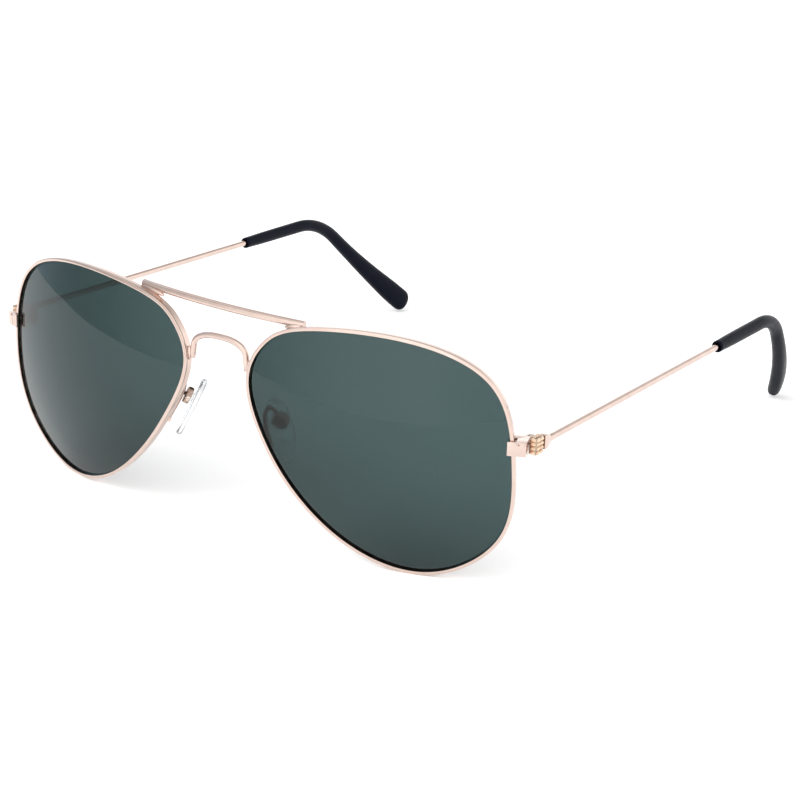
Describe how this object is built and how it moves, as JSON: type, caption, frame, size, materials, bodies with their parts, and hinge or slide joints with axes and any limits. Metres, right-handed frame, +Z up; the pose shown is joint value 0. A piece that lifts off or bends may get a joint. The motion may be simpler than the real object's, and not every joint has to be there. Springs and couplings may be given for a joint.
{
  "type": "aviator sunglasses",
  "caption": "Wire-framed aviator sunglasses standing open: teardrop grey-green lenses, arched bridge with a brow bar, rocking nose pads and folding temples with black tips.",
  "frame": {"origin": "under the middle of the whole object, at table height", "axes": "+X towards the wearer's left, -Y the way the lenses face, +Z up"},
  "size_m": [0.1336, 0.1584, 0.0494],
  "materials": {
    "rose_gold": "polished rose-gold plate on wire",
    "warm_gold": "faceted and polished, a warmer gold",
    "screw_metal": "plated screw metal",
    "grey_green_lens": "polished tinted lens",
    "black_tip": "satin moulded plastic",
    "clear_pad": "clear soft plastic"
  },
  "bodies": {
    "front": {"bridge": "rose_gold", "brow_bar": "rose_gold", "rim_left": "rose_gold", "rim_right": "rose_gold", "lens_left": "grey_green_lens", "lens_right": "grey_green_lens", "endpiece_left": "rose_gold", "endpiece_right": "rose_gold", "corner_ornament_left": "warm_gold", "corner_ornament_right": "warm_gold", "closing_block_upper_left": "rose_gold", "closing_block_upper_right": "rose_gold", "closing_block_lower_left": "rose_gold", "closing_block_lower_right": "rose_gold", "closing_screw_left": "screw_metal", "closing_screw_right": "screw_metal", "front_hinge_left": "rose_gold", "front_hinge_right": "rose_gold", "hinge_screw_left": "screw_metal", "hinge_screw_right": "screw_metal", "pad_box_left": "rose_gold", "pad_box_right": "rose_gold", "pad_screw_left": "screw_metal", "pad_screw_right": "screw_metal", "pad_arm_left": "rose_gold", "pad_arm_right": "rose_gold"},
    "temple_arm_left": {"temple_left": "rose_gold", "temple_tip_left": "black_tip", "temple_hinge_left": "rose_gold"},
    "nose_pad_body_left": {"nose_pad_left": "clear_pad"},
    "temple_arm_right": {"temple_right": "rose_gold", "temple_tip_right": "black_tip", "temple_hinge_right": "rose_gold"},
    "nose_pad_body_right": {"nose_pad_right": "clear_pad"}
  },
  "joints": [
    {"name": "temple_fold_left", "type": "hinge", "parent": "front", "child": "temple_arm_left", "pos_m": [0.0632, -0.06183, 0.02976], "axis": [0, 0, 1], "range_deg": [0, 89]},
    {"name": "temple_fold_right", "type": "hinge", "parent": "front", "child": "temple_arm_right", "pos_m": [-0.0632, -0.06183, 0.02976], "axis": [0, 0, -1], "range_deg": [0, 80]},
    {"name": "nose_pad_rock_left", "type": "hinge", "parent": "front", "child": "nose_pad_body_left", "pos_m": [0.01181, -0.07225, 0.02534], "axis": [-0.5299, -0.848, 0], "range_deg": [-8, 8]},
    {"name": "nose_pad_rock_right", "type": "hinge", "parent": "front", "child": "nose_pad_body_right", "pos_m": [-0.01181, -0.07225, 0.02534], "axis": [0.5299, -0.848, 0], "range_deg": [-8, 8]}
  ]
}
